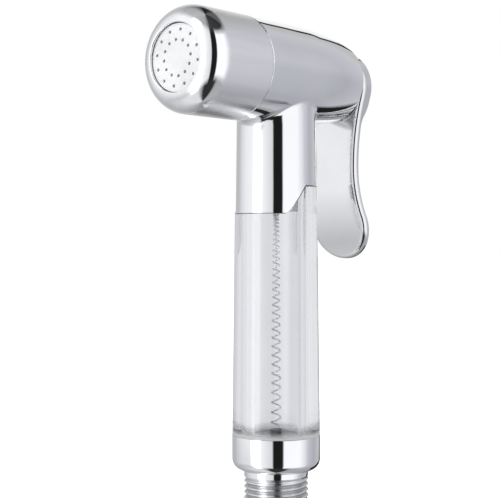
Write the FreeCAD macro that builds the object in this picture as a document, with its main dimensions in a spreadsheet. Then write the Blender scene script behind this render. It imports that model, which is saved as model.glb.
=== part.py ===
import FreeCAD, Part
import math
import os
import re
import Sketcher

# Hand-held bidet shower: a chromed head with a squeeze lever behind it, a clear
# handle with a wire coil on its axis, and a G1/2 threaded tail.
# Frame: origin at the centre of the thread's lower end face, +Z up the handle,
# the spray nozzle points along -Y and the lever stands on the +Y side.
# All sizes are millimetres.
SIZES = {
    # threaded tail and chrome ring at the foot of the handle
    "thread_radius": 10.4775,
    "thread_height": 11.2,
    "thread_lead_in": 0.8,
    "inlet_radius": 5.5,
    "ring_ledge": 0.2725,
    "ring_round": 3.6,
    "ring_length": 11.4,
    "cup_floor_thickness": 2.2,
    "cup_wall": 2.75,
    "edge_round": 0.3,
    # gaps between pieces that are screwed or slipped together
    "fit_gap": 0.1,
    "seal_gap": 0.05,
    "shaft_gap": 0.05,
    # clear handle
    "grip_length": 71.4,
    "tube_top_radius": 13.3,
    "tube_bore": 7.2,
    "tube_step": 0.05,
    "foot_seal_height": 1.5,
    # ferrule and holder of the wire coil
    "ferrule_disc": 1.5,
    "ferrule_radius": 1.95,
    "ferrule_stub": 9.4,
    "water_slot_ring": 3.9,
    "water_slot_radius": 1.1,
    "water_slot_count": 6,
    "holder_plug_inset": 1.2,
    "holder_plug_height": 3,
    "holder_rod_radius": 1,
    "holder_rod_length": 2.5,
    "holder_slot_inset": 1.6,
    "holder_slot_radius": 0.8,
    "coil_wire": 0.27,
    "coil_top_radius": 0.75,
    "coil_foot_radius": 1.5,
    "coil_turns": 28,
    # neck of the head casting
    "neck_height": 45.65,
    "skirt_rise": 9.2,
    "skirt_rise_front": 7.7,
    "skirt_rise_rear": 0.9,
    "skirt_corner": 1.6,
    "neck_step": 0.15,
    "neck_taper": 0.5,
    "neck_wall": 1.85,
    "neck_fillet": 1.8,
    "socket_depth": 23,
    "insert_flange": 3,
    "insert_length": 22.2,
    "insert_bore": 4.4,
    "insert_groove_drop": 8,
    "water_way": 4,
    "o_ring_wire": 0.85,
    # barrel of the head casting, its lengths counted from the handle's axis
    "barrel_front": 21,
    "barrel_radius": 16.4,
    "barrel_waist": 5,
    "barrel_waist_step": 0.15,
    "barrel_rear": 31,
    "barrel_taper": 2.95,
    "barrel_rear_round": 1,
    "spigot_wall": 3.6,
    "spigot_groove_inset": 4.2,
    "web_thickness": 5.8,
    "web_rear": 4.2,
    "seat_hole": 6,
    "valve_bore": 8,
    # nozzle collar and what it holds
    "collar_length": 26.4,
    "collar_wall": 2.9,
    "nose_round": 6.8,
    "nose_rim": 6,
    "shoulder_depth": 4,
    "plate_gap": 0.2,
    "plate_depth": 1.1,
    "plate_flange_inset": 0.5,
    "plate_flange": 1.6,
    "plate_seal_height": 2,
    "plate_seal_width": 2.3,
    "spray_hole": 0.525,
    "spray_outer_inset": 2,
    "spray_ring_step": 2.95,
    "spray_outer_turn": 9.4,
    "spray_inner_turn": 24.4,
    "spray_count": 12,
    "flow_disc_thickness": 1.8,
    "flow_hole_web": 1.9,
    "flow_ring_inset": 3.4,
    "flow_count": 8,
    # valve inside the barrel
    "seat_bore": 3.1,
    "seat_lip": 0.8,
    "seat_lip_width": 0.8,
    "seat_flange": 1.8,
    "washer_gap": 1.8,
    "washer_height": 2,
    "screw_shank": 1.2,
    "screw_head_rim": 1.2,
    "screw_head_height": 1.4,
    "screw_depth": 4.5,
    "stem_cup_height": 1.6,
    "stem_radius": 2,
    "stem_shoulder_inset": 0.8,
    "stem_neck_radius": 1.1,
    "stem_ball_radius": 1.8,
    "stem_ball_inset": 2.6,
    "spring_radius": 4.1,
    "spring_wire": 0.45,
    "spring_turns": 5,
    "bonnet_inset": 5,
    "bonnet_length": 13,
    "bonnet_groove_inset": 2,
    "stem_groove_inset": 8,
    "stem_seal_wire": 0.7,
    # lever and its hinge, drops counted down from the barrel's axis
    "pin_radius": 1.2,
    "pin_edge": 2.75,
    "pin_inset": 2.6,
    "pin_short_side": 6.2,
    "pin_long_side": 6.9,
    "tongue_half_width": 3,
    "tongue_radius": 1.85,
    "tongue_rise": 1.7,
    "tongue_gap": 0.25,
    "lever_gap": 0.6,
    "lever_thickness": 3,
    "lever_round": 0.8,
    "lever_side_flat": 0.4,
    "cap_inset": 0.95,
    "cap_drop": 1.5,
    "cap_thickness": 5.4,
    "cap_flat_drop": 6.5,
    "fade_length": 9,
    "waist_half_width": 8.7,
    "waist_drop": 28.5,
    "tail_radius": 11.5,
    "tail_drop": 49,
    "bend_drop": 31,
    "bend_radius": 80,
    "ball_slot_half_width": 1.4,
    "ball_slot_web": 1.1,
    "ball_slot_rise": 1.8,
    "ball_slot_gap": 0.3,
}

# What follows from them: each piece is placed and sized from the one it fits.
FOLLOWING = {
    "ring_radius": "thread_radius + ring_ledge + ring_round",
    "ring_top": "thread_height + ring_length",
    "cup_floor": "thread_height + cup_floor_thickness",
    "cup_radius": "ring_radius - cup_wall",
    "ferrule_top": "cup_floor + ferrule_disc + ferrule_stub",
    "skirt_front": "ring_top + grip_length",
    "skirt_rear": "skirt_front + skirt_rise",
    "barrel_height": "skirt_front + neck_height",
    "socket_top": "skirt_front + socket_depth",
    "insert_base": "socket_top - insert_length",
    "insert_groove": "socket_top - insert_groove_drop",
    "holder_plug_base": "insert_base + holder_plug_inset",
    "holder_rod_base": "holder_plug_base - holder_rod_length",
    "holder_slot_ring": "insert_bore - holder_slot_inset",
    "neck_foot_radius": "tube_top_radius - neck_step",
    "neck_top_radius": "neck_foot_radius - neck_taper",
    "tube_plug_radius": "neck_foot_radius - neck_wall - fit_gap",
    "barrel_waist_radius": "barrel_radius - barrel_waist_step",
    "barrel_rear_radius": "barrel_radius - barrel_taper",
    "nose_front": "barrel_front + collar_length",
    "collar_shoulder": "nose_front - shoulder_depth",
    "plate_front": "nose_front - plate_depth",
    "spigot_front": "collar_shoulder - plate_flange - plate_seal_height - flow_disc_thickness",
    "spigot_radius": "barrel_radius - collar_wall - fit_gap",
    "spigot_groove": "barrel_front + spigot_groove_inset",
    "front_cavity_radius": "spigot_radius - spigot_wall",
    "mouth_radius": "barrel_radius - nose_rim",
    "plate_seal_bore": "spigot_radius - plate_flange_inset - plate_seal_width",
    "spray_outer_ring": "mouth_radius - spray_outer_inset",
    "spray_inner_ring": "spray_outer_ring - spray_ring_step",
    "flow_ring": "front_cavity_radius - flow_ring_inset",
    "flow_hole": "flow_ring * sin(180 deg / flow_count) - flow_hole_web / 2",
    "web_front": "web_rear + web_thickness",
    "seat_lip_radius": "seat_bore + seat_lip_width",
    "washer_radius": "valve_bore - washer_gap",
    "screw_head": "screw_shank + screw_head_rim",
    "bonnet_front": "barrel_rear - bonnet_inset - bonnet_length",
    "bonnet_groove": "bonnet_front + bonnet_groove_inset",
    "stem_groove": "bonnet_front + stem_groove_inset",
    "stem_shoulder": "barrel_rear - stem_shoulder_inset",
    "stem_ball": "barrel_rear + lever_gap + stem_ball_inset",
    "pin_rear": "barrel_rear - pin_inset",
    "pin_drop": "barrel_rear_radius - pin_edge",
    "cap_radius": "barrel_rear_radius - cap_inset",
    "lever_rim_round": "lever_thickness - lever_round - lever_side_flat",
    "fade_drop": "cap_flat_drop + fade_length",
}

V = FreeCAD.Vector
ALONG_X = FreeCAD.Rotation(V(0, 1, 0), 90)
ALONG_Y = FreeCAD.Rotation(V(1, 0, 0), -90)
doc = FreeCAD.newDocument("bidet_shower")
sheet = doc.addObject("Spreadsheet::Sheet", "Sizes")
cells = [(name, str(number)) for name, number in SIZES.items()]
cells += [(name, "=" + formula) for name, formula in FOLLOWING.items()]
for row, (name, content) in enumerate(cells, start=1):
    sheet.set(f"A{row}", content)
    sheet.setAlias(f"A{row}", name)
doc.recompute()


def bind(text):
    """The same expression with each size name pointing at its cell."""
    names = "|".join([*SIZES, *FOLLOWING])
    return re.sub(rf"\b({names})\b", r"Sizes.\1", text)


def value(text):
    number = sheet.evalExpression(bind(text))
    return float(getattr(number, "Value", number))


def plane(body, role):
    return next(feature for feature in body.Origin.OriginFeatures if feature.Role == role)


def new_body(label, height="0"):
    """A body whose own origin sits on the handle's axis at the given height."""
    body = doc.addObject("PartDesign::Body", label)
    body.Label = label
    if height != "0":
        body.setExpression("Placement.Base.z", bind(height))
    return body


def new_sketch(body, name, role):
    sketch = body.newObject("Sketcher::SketchObject", name)
    sketch.AttachmentSupport = [(plane(body, role), "")]
    sketch.MapMode = "FlatFace"
    return sketch


def constrain(sketch, constraint, text=None):
    index = sketch.addConstraint(constraint)
    if text is not None:
        sketch.setExpression(f"Constraints[{index}]", bind(text))


def hold_point(sketch, edge, end, across, up):
    """Keep the end of an edge at two coordinates given as expressions."""
    for kind, text, axis in (("DistanceX", across, -2), ("DistanceY", up, -1)):
        if text == "0":
            constrain(sketch, Sketcher.Constraint("PointOnObject", edge, end, axis))
        else:
            constrain(sketch, Sketcher.Constraint(kind, edge, end, value(text)), text)


def arc_middle(start, end, radius, side):
    """Halfway point of the arc from start to end, centre left (1) or right (-1) of it."""
    chord = end - start
    left = V(-chord.y, chord.x, 0)
    left.normalize()
    half = chord.Length / 2
    centre = (start + end) * 0.5 + left * side * math.sqrt(max(radius ** 2 - half ** 2, 0))
    outward = (start + end) * 0.5 - centre
    outward.normalize()
    return centre + outward * radius


def end_at(sketch, edge, point):
    """Number of the end of an edge that lies on a point."""
    near = sketch.getPoint(edge, 1).sub(point).Length
    far = sketch.getPoint(edge, 2).sub(point).Length
    return 1 if near < far else 2


def draw_outline(sketch, corners):
    """Closed outline. A corner is (across, up), and with (radius, side) added an
    arc runs from it to the next corner."""
    places = [V(value(corner[0]), value(corner[1]), 0) for corner in corners]
    first = sketch.GeometryCount
    for corner, start, end in zip(corners, places, places[1:] + places[:1]):
        if len(corner) == 2:
            sketch.addGeometry(Part.LineSegment(start, end))
        else:
            middle = arc_middle(start, end, value(corner[2]), corner[3])
            sketch.addGeometry(Part.Arc(start, middle, end))
    count = len(corners)
    for i, place in enumerate(places):
        edge = first + i
        before = first + (i - 1) % count
        end = end_at(sketch, edge, place)
        end_before = end_at(sketch, before, place)
        constrain(sketch, Sketcher.Constraint("Coincident", before, end_before, edge, end))
        hold_point(sketch, edge, end, corners[i][0], corners[i][1])
        if len(corners[i]) == 4:
            radius = corners[i][2]
            constrain(sketch, Sketcher.Constraint("Radius", edge, value(radius)), radius)


def turn(body, name, axis, corners, cut=False):
    """Outline in the YZ plane turned about Y, or in the XZ plane turned about Z."""
    sketch = new_sketch(body, name + "_outline", "YZ_Plane" if axis == "Y" else "XZ_Plane")
    draw_outline(sketch, corners)
    feature = body.newObject("PartDesign::Groove" if cut else "PartDesign::Revolution", name)
    feature.Profile = sketch
    feature.ReferenceAxis = (sketch, ["H_Axis" if axis == "Y" else "V_Axis"])
    feature.Angle = 360
    doc.recompute()
    return feature


def turned_piece(label, axis, corners, height="0"):
    body = new_body(label, height)
    turn(body, label + "_turned", axis, corners)
    return body


def cut_pocket(body, name, role, draw, depth=None, both_ways=True, reverse=False):
    """Pocket from the plane of its sketch: through the body, or to a total depth."""
    before = body.Shape.Volume
    sketch = new_sketch(body, name + "_outline", role)
    draw(sketch)
    pocket = body.newObject("PartDesign::Pocket", name)
    pocket.Profile = sketch
    pocket.SideType = "Symmetric" if both_ways else "One side"
    pocket.Reversed = reverse
    if depth is None:
        pocket.Type = "ThroughAll"
    else:
        pocket.Type = "Length"
        pocket.setExpression("Length", bind(depth))
    doc.recompute()
    if body.Shape.Volume > before - 1e-3:
        raise RuntimeError(name + " cuts nothing")
    return pocket


def draw_circle(sketch, across, up, radius):
    index = sketch.addGeometry(Part.Circle(V(value(across), value(up), 0), V(0, 0, 1), value(radius)))
    hold_point(sketch, index, 3, across, up)
    constrain(sketch, Sketcher.Constraint("Radius", index, value(radius)), radius)


def ring_of_holes(body, name, role, axis, ring, first_angle, radius, count):
    """Equal round holes on a circle about an axis of the body."""
    across = f"{ring} * sin({first_angle} * 1 deg)"
    up = f"{ring} * cos({first_angle} * 1 deg)"
    pocket = cut_pocket(body, name, role, lambda sketch: draw_circle(sketch, across, up, radius))
    pattern = body.newObject("PartDesign::PolarPattern", name + "_ring")
    pattern.Originals = [pocket]
    pattern.Axis = (plane(body, axis), [""])
    pattern.Angle = 360
    pattern.setExpression("Occurrences", bind(count))
    body.Tip = pattern
    doc.recompute()
    return pattern


def wire_coil(label, axis, start, radius, wire, span, turns, growth="0", height="0", down=False):
    """Round wire wound about the Y or Z axis from a start on it, each turn wider by the growth."""
    body = new_body(label, height)
    sketch = new_sketch(body, label + "_wire", "YZ_Plane" if axis == "Y" else "XZ_Plane")
    if axis == "Y":
        draw_circle(sketch, start, radius, wire)
    else:
        draw_circle(sketch, radius, start, wire)
    helix = body.newObject("PartDesign::AdditiveHelix", label + "_winding")
    helix.Profile = sketch
    helix.ReferenceAxis = (sketch, ["H_Axis" if axis == "Y" else "V_Axis"])
    helix.Mode = "height-turns-growth"
    helix.Reversed = down
    helix.setExpression("Height", bind(span))
    helix.setExpression("Turns", bind(turns))
    helix.setExpression("Growth", bind(growth))
    doc.recompute()
    return body


def o_ring(label, axis, place, inner, outer, height="0"):
    """Round rubber ring between two radii, a seal gap clear of both."""
    ring = doc.addObject("Part::Torus", label)
    ring.Label = label
    ring.setExpression("Radius1", bind(f"({inner} + {outer}) / 2"))
    ring.setExpression("Radius2", bind(f"({outer} - {inner}) / 2 - seal_gap"))
    if axis == "Y":
        ring.setExpression("Placement.Base.y", bind(place))
        ring.setExpression("Placement.Base.z", bind(height))
        ring.Placement.Rotation = ALONG_Y
    else:
        ring.setExpression("Placement.Base.z", bind(place))
    return ring


# End fitting: chromed brass, a cup that takes the handle's foot over a male
# pipe thread, bored through for the water. The thread is left at its crests.
turned_piece("end_fitting", "Z", [
    ("inlet_radius", "0"),
    ("thread_radius - thread_lead_in", "0"),
    ("thread_radius", "thread_lead_in"),
    ("thread_radius", "thread_height"),
    ("ring_radius - ring_round", "thread_height", "ring_round", 1),
    ("ring_radius", "thread_height + ring_round"),
    ("ring_radius", "ring_top - edge_round", "edge_round", 1),
    ("ring_radius - edge_round", "ring_top"),
    ("cup_radius", "ring_top"),
    ("cup_radius", "cup_floor"),
    ("inlet_radius", "cup_floor"),
])

# Coil ferrule: black plastic, a slotted disc trapped under the handle with a
# stub on the axis that grips the foot of the wire coil.
FOOT_RADIUS = "(cup_radius - fit_gap)"
ferrule = turned_piece("coil_ferrule", "Z", [
    ("0", "cup_floor"),
    (FOOT_RADIUS, "cup_floor"),
    (FOOT_RADIUS, "cup_floor + ferrule_disc"),
    ("ferrule_radius", "cup_floor + ferrule_disc"),
    ("ferrule_radius", "ferrule_top - edge_round", "edge_round", 1),
    ("ferrule_radius - edge_round", "ferrule_top"),
    ("0", "ferrule_top"),
])
ring_of_holes(ferrule, "ferrule_slots", "XY_Plane", "Z_Axis",
              "water_slot_ring", "0", "water_slot_radius", "water_slot_count")

# Foot seal: flat rubber ring squeezed between the ferrule's disc and the handle.
FOOT_SEAL_BASE = "(cup_floor + ferrule_disc)"
TUBE_FOOT = f"({FOOT_SEAL_BASE} + foot_seal_height)"
turned_piece("foot_seal", "Z", [
    ("tube_bore", FOOT_SEAL_BASE),
    (FOOT_RADIUS, FOOT_SEAL_BASE),
    (FOOT_RADIUS, TUBE_FOOT),
    ("tube_bore", TUBE_FOOT),
])

# Side view of the skirt's edge: level in front, then a slope of RISE_LENGTH
# between two rounded corners, then level again round the rear.
RISE_RUN = "(skirt_rise_front - skirt_rise_rear)"
RISE_LENGTH = f"sqrt({RISE_RUN} ^ 2 + skirt_rise ^ 2)"
CORNER_REACH = f"(skirt_corner * skirt_rise / ({RISE_RUN} + {RISE_LENGTH}))"
CORNER_ACROSS = f"({CORNER_REACH} * {RISE_RUN} / {RISE_LENGTH})"
CORNER_UP = f"({CORNER_REACH} * skirt_rise / {RISE_LENGTH})"


def skirt_edge(datum):
    """The edge from front to rear, its heights counted from a datum."""
    return [
        (f"-skirt_rise_front - {CORNER_REACH}", f"skirt_front - {datum}", "skirt_corner", 1),
        (f"-skirt_rise_front + {CORNER_ACROSS}", f"skirt_front - {datum} + {CORNER_UP}"),
        (f"-skirt_rise_rear - {CORNER_ACROSS}", f"skirt_rear - {datum} - {CORNER_UP}", "skirt_corner", -1),
        (f"-skirt_rise_rear + {CORNER_REACH}", f"skirt_rear - {datum}"),
    ]


# Handle tube: thick clear plastic, tapering upwards. Its foot stands in the
# cup, its shoulder is cut to the skirt's edge, and a thinner neck of it goes
# on up into the head.
TUBE_HEAD = "(socket_top - insert_flange)"
tube = new_body("handle_tube")
turn(tube, "tube_grip", "Z", [
    ("tube_bore", TUBE_FOOT),
    (FOOT_RADIUS, TUBE_FOOT),
    (FOOT_RADIUS, "ring_top + tube_step"),
    ("ring_radius - tube_step", "ring_top + tube_step"),
    ("tube_top_radius", "skirt_rear - tube_step"),
    ("tube_bore", "skirt_rear - tube_step"),
])
cut_pocket(tube, "tube_shoulder", "YZ_Plane", lambda sketch: draw_outline(sketch, [
    ("-barrel_rear", "skirt_front - tube_step"),
    *skirt_edge("tube_step"),
    ("barrel_rear", "skirt_rear - tube_step"),
    ("barrel_rear", "barrel_height"),
    ("-barrel_rear", "barrel_height"),
]))
turn(tube, "tube_neck", "Z", [
    ("tube_bore", "ring_top + tube_step"),
    ("tube_plug_radius", "ring_top + tube_step"),
    ("tube_plug_radius", TUBE_HEAD),
    ("tube_bore", TUBE_HEAD),
])

# Neck insert: brass, its flange held in the top of the neck's socket and its
# spigot inside the tube's bore, sealed by an O-ring.
RING_DEPTH = "(2 * (o_ring_wire + seal_gap))"
INSERT_RADIUS = "(tube_bore - fit_gap)"
INSERT_GROOVE_RADIUS = f"(tube_bore - {RING_DEPTH})"
turned_piece("neck_insert", "Z", [
    ("insert_bore", "insert_base"),
    (INSERT_RADIUS, "insert_base"),
    (INSERT_RADIUS, "insert_groove"),
    (INSERT_GROOVE_RADIUS, "insert_groove"),
    (INSERT_GROOVE_RADIUS, f"insert_groove + {RING_DEPTH}"),
    (INSERT_RADIUS, f"insert_groove + {RING_DEPTH}"),
    (INSERT_RADIUS, TUBE_HEAD),
    ("tube_plug_radius", TUBE_HEAD),
    ("tube_plug_radius", "socket_top"),
    ("insert_bore", "socket_top"),
])
o_ring("tube_seal", "Z", f"insert_groove + {RING_DEPTH} / 2", INSERT_GROOVE_RADIUS, "tube_bore")

# Coil holder: a slotted plastic plug in the insert's bore, with a rod on the
# axis that the head of the wire coil is hooked to.
HOLDER_RADIUS = "(insert_bore - seal_gap)"
HOLDER_TOP = "(holder_plug_base + holder_plug_height)"
holder = turned_piece("coil_holder", "Z", [
    ("0", "holder_rod_base"),
    ("holder_rod_radius", "holder_rod_base"),
    ("holder_rod_radius", "holder_plug_base"),
    (HOLDER_RADIUS, "holder_plug_base"),
    (HOLDER_RADIUS, HOLDER_TOP),
    ("0", HOLDER_TOP),
])
ring_of_holes(holder, "holder_slots", "XY_Plane", "Z_Axis",
              "holder_slot_ring", "0", "holder_slot_radius", "water_slot_count")

# Wire coil on the handle's axis: steel wire, wound from the holder's rod down
# to the ferrule and wider towards its foot.
wire_coil("wire_coil", "Z", "holder_rod_base - coil_wire", "coil_top_radius", "coil_wire",
          "holder_rod_base - ferrule_top - 2 * coil_wire", "coil_turns",
          growth="(coil_foot_radius - coil_top_radius) / coil_turns", down=True)

# Head shell: barrel and neck cast as one piece and chromed. The barrel carries
# a threaded spigot for the collar in front and the valve's bore behind, and
# the neck has a socket for the handle and a water way up into the barrel.
COLLAR_BORE = "(barrel_radius - collar_wall)"
SPIGOT_GROOVE_RADIUS = f"({COLLAR_BORE} - {RING_DEPTH})"
BARREL_CURVE_RUN = "(barrel_rear - barrel_rear_round - barrel_waist)"
BARREL_CURVE_DROP = "(barrel_taper - barrel_waist_step)"
BARREL_CURVE = f"(({BARREL_CURVE_RUN} ^ 2 + {BARREL_CURVE_DROP} ^ 2) / (2 * {BARREL_CURVE_DROP}))"
NECK_FOOT = "(skirt_front - barrel_height)"
SOCKET_RADIUS = "(tube_plug_radius + fit_gap)"
head = new_body("head_shell", "barrel_height")
turn(head, "barrel", "Y", [
    ("-spigot_front", "0"),
    ("-spigot_front", "spigot_radius"),
    ("-spigot_groove", "spigot_radius"),
    ("-spigot_groove", SPIGOT_GROOVE_RADIUS),
    (f"-spigot_groove + {RING_DEPTH}", SPIGOT_GROOVE_RADIUS),
    (f"-spigot_groove + {RING_DEPTH}", "spigot_radius"),
    ("-barrel_front", "spigot_radius"),
    ("-barrel_front", "barrel_radius - edge_round", "edge_round", -1),
    ("-barrel_front + edge_round", "barrel_radius"),
    ("barrel_waist", "barrel_waist_radius", BARREL_CURVE, -1),
    ("barrel_rear - barrel_rear_round", "barrel_rear_radius", "barrel_rear_round", -1),
    ("barrel_rear", "barrel_rear_radius - barrel_rear_round"),
    ("barrel_rear", "0"),
])
turn(head, "neck", "Z", [
    ("0", NECK_FOOT),
    ("neck_foot_radius - edge_round", NECK_FOOT, "edge_round", 1),
    ("neck_foot_radius", f"{NECK_FOOT} + edge_round"),
    ("neck_top_radius", "0"),
    ("0", "0"),
])
joined = head.Tip
neck_root = [
    f"Edge{number}"
    for number, edge in enumerate(joined.Shape.Edges, start=1)
    if all(abs(math.hypot(edge.valueAt(at).x, edge.valueAt(at).y) - value("neck_top_radius")) < 0.4
           and -value("barrel_radius") - 0.1 < edge.valueAt(at).z < -2
           for at in edge.ParameterRange)
]
fillet = head.newObject("PartDesign::Fillet", "neck_root_fillet")
fillet.Base = (joined, neck_root)
fillet.setExpression("Radius", bind("neck_fillet"))
doc.recompute()
turn(head, "front_cavity", "Y", [
    ("-spigot_front - fit_gap", "0"),
    ("-spigot_front - fit_gap", "front_cavity_radius"),
    ("-web_front", "front_cavity_radius"),
    ("-web_front", "seat_hole"),
    ("-web_rear", "seat_hole"),
    ("-web_rear", "valve_bore"),
    ("barrel_rear + fit_gap", "valve_bore"),
    ("barrel_rear + fit_gap", "0"),
], cut=True)
turn(head, "handle_socket", "Z", [
    ("0", f"{NECK_FOOT} - fit_gap"),
    (SOCKET_RADIUS, f"{NECK_FOOT} - fit_gap"),
    (SOCKET_RADIUS, "socket_top - barrel_height"),
    ("water_way", "socket_top - barrel_height"),
    ("water_way", "0"),
    ("0", "0"),
], cut=True)
cut_pocket(head, "skirt_rise", "YZ_Plane", lambda sketch: draw_outline(sketch, [
    *skirt_edge("barrel_height"),
    ("barrel_rear", "skirt_rear - barrel_height"),
    ("barrel_rear", f"{NECK_FOOT} - fit_gap"),
    (f"-skirt_rise_front - {CORNER_REACH}", f"{NECK_FOOT} - fit_gap"),
]))
TONGUE_ROOM = "(tongue_radius + tongue_gap)"
cut_pocket(head, "tongue_slot", "YZ_Plane", lambda sketch: draw_outline(sketch, [
    ("barrel_rear + fit_gap", f"-pin_drop - {TONGUE_ROOM}"),
    ("pin_rear", f"-pin_drop - {TONGUE_ROOM}", TONGUE_ROOM, -1),
    (f"pin_rear - {TONGUE_ROOM}", "-pin_drop", TONGUE_ROOM, -1),
    ("pin_rear", f"-pin_drop + {TONGUE_ROOM}"),
    ("barrel_rear + fit_gap", f"-pin_drop + {TONGUE_ROOM}"),
]), depth="2 * (tongue_half_width + tongue_gap)")
cut_pocket(head, "pin_hole", "YZ_Plane",
           lambda sketch: draw_circle(sketch, "pin_rear", "-pin_drop", "pin_radius"),
           both_ways=False)
cut_pocket(head, "pin_stop", "YZ_Plane",
           lambda sketch: draw_circle(sketch, "pin_rear", "-pin_drop", "pin_radius"),
           depth="pin_short_side", both_ways=False, reverse=True)

# Nozzle collar: satin chromed sleeve with a polished domed nose, screwed on
# to the barrel's spigot. Its inner shoulder holds the spray plate.
MOUTH_LIP = "(mouth_radius + edge_round)"
DOME_FALL = f"(nose_round - sqrt(nose_round ^ 2 - ({MOUTH_LIP} - barrel_radius + nose_round) ^ 2))"
turned_piece("nozzle_collar", "Y", [
    ("-barrel_front - fit_gap", COLLAR_BORE),
    ("-barrel_front - fit_gap", "barrel_radius - edge_round", "edge_round", 1),
    ("-barrel_front - fit_gap - edge_round", "barrel_radius"),
    ("-nose_front + nose_round", "barrel_radius", "nose_round", 1),
    (f"-nose_front + {DOME_FALL}", MOUTH_LIP, "edge_round", 1),
    (f"-nose_front + {DOME_FALL} + edge_round", "mouth_radius"),
    ("-collar_shoulder", "mouth_radius"),
    ("-collar_shoulder", COLLAR_BORE),
], "barrel_height")

# Collar seal: O-ring in the spigot's groove.
o_ring("collar_seal", "Y", f"-spigot_groove + {RING_DEPTH} / 2",
       SPIGOT_GROOVE_RADIUS, COLLAR_BORE, "barrel_height")

# Spray plate: white plastic with two rings of fine holes, its flange held
# behind the collar's shoulder.
FLANGE_RADIUS = "(spigot_radius - plate_flange_inset)"
PLATE_REAR = "(-collar_shoulder + plate_flange)"
plate = turned_piece("spray_plate", "Y", [
    ("-plate_front", "0"),
    ("-plate_front", "mouth_radius - plate_gap"),
    ("-collar_shoulder", "mouth_radius - plate_gap"),
    ("-collar_shoulder", FLANGE_RADIUS),
    (PLATE_REAR, FLANGE_RADIUS),
    (PLATE_REAR, "0"),
], "barrel_height")
ring_of_holes(plate, "spray_outer_holes", "XZ_Plane", "Y_Axis",
              "spray_outer_ring", "spray_outer_turn", "spray_hole", "spray_count")
ring_of_holes(plate, "spray_inner_holes", "XZ_Plane", "Y_Axis",
              "spray_inner_ring", "spray_inner_turn", "spray_hole", "spray_count")

# Plate seal: rubber ring between the spray plate and the flow disc.
SEAL_REAR = f"({PLATE_REAR} + plate_seal_height)"
turned_piece("plate_seal", "Y", [
    (PLATE_REAR, "plate_seal_bore"),
    (PLATE_REAR, FLANGE_RADIUS),
    (SEAL_REAR, FLANGE_RADIUS),
    (SEAL_REAR, "plate_seal_bore"),
], "barrel_height")

# Flow disc: plastic disc that evens out the water, pressed on the seal by the
# end of the spigot.
disc = turned_piece("flow_disc", "Y", [
    (SEAL_REAR, "0"),
    (SEAL_REAR, FLANGE_RADIUS),
    ("-spigot_front", FLANGE_RADIUS),
    ("-spigot_front", "0"),
], "barrel_height")
ring_of_holes(disc, "flow_holes", "XZ_Plane", "Y_Axis",
              "flow_ring", "0", "flow_hole", "flow_count")

# Valve seat: brass, pressed into the web across the barrel, with a raised lip
# that the washer closes on.
SEAT_REAR = "(-web_rear + seat_flange)"
turned_piece("valve_seat", "Y", [
    ("-web_front", "seat_bore"),
    ("-web_front", "seat_hole - seal_gap"),
    ("-web_rear", "seat_hole - seal_gap"),
    ("-web_rear", "valve_bore - fit_gap"),
    (SEAT_REAR, "valve_bore - fit_gap"),
    (SEAT_REAR, "seat_lip_radius"),
    (f"{SEAT_REAR} + seat_lip", "seat_lip_radius"),
    (f"{SEAT_REAR} + seat_lip", "seat_bore"),
], "barrel_height")

# Valve washer: rubber disc on the stem's cup, shut against the seat's lip.
WASHER_FRONT = f"({SEAT_REAR} + seat_lip + seal_gap)"
WASHER_REAR = f"({WASHER_FRONT} + washer_height)"
turned_piece("valve_washer", "Y", [
    (WASHER_FRONT, "screw_shank + seal_gap"),
    (WASHER_FRONT, "washer_radius"),
    (WASHER_REAR, "washer_radius"),
    (WASHER_REAR, "screw_shank + seal_gap"),
], "barrel_height")

# Washer screw: brass, holds the washer on the stem.
turned_piece("washer_screw", "Y", [
    (f"{WASHER_FRONT} - screw_head_height", "0"),
    (f"{WASHER_FRONT} - screw_head_height", "screw_head - edge_round", "edge_round", -1),
    (f"{WASHER_FRONT} - screw_head_height + edge_round", "screw_head"),
    (WASHER_FRONT, "screw_head"),
    (WASHER_FRONT, "screw_shank"),
    (f"{WASHER_REAR} + screw_depth", "screw_shank"),
    (f"{WASHER_REAR} + screw_depth", "0"),
], "barrel_height")

# Valve stem: turned brass with a cup for the washer, a rod through the bonnet
# and a ball end that the lever pulls.
CUP_REAR = f"({WASHER_REAR} + stem_cup_height)"
BALL_NECK = "(stem_ball - sqrt(stem_ball_radius ^ 2 - stem_neck_radius ^ 2))"
turned_piece("valve_stem", "Y", [
    (WASHER_REAR, "screw_shank + seal_gap"),
    (WASHER_REAR, "washer_radius"),
    (CUP_REAR, "washer_radius"),
    (CUP_REAR, "stem_radius"),
    ("stem_shoulder", "stem_radius"),
    ("stem_shoulder", "stem_neck_radius"),
    (BALL_NECK, "stem_neck_radius", "stem_ball_radius", -1),
    ("stem_ball + stem_ball_radius", "0"),
    (f"{WASHER_REAR} + screw_depth + fit_gap", "0"),
    (f"{WASHER_REAR} + screw_depth + fit_gap", "screw_shank + seal_gap"),
], "barrel_height")

# Return spring: steel wire between the stem's cup and the bonnet.
wire_coil("return_spring", "Y", f"{CUP_REAR} + spring_wire + seal_gap", "spring_radius", "spring_wire",
          f"bonnet_front - {CUP_REAR} - 2 * (spring_wire + seal_gap)", "spring_turns",
          height="barrel_height")

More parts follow.
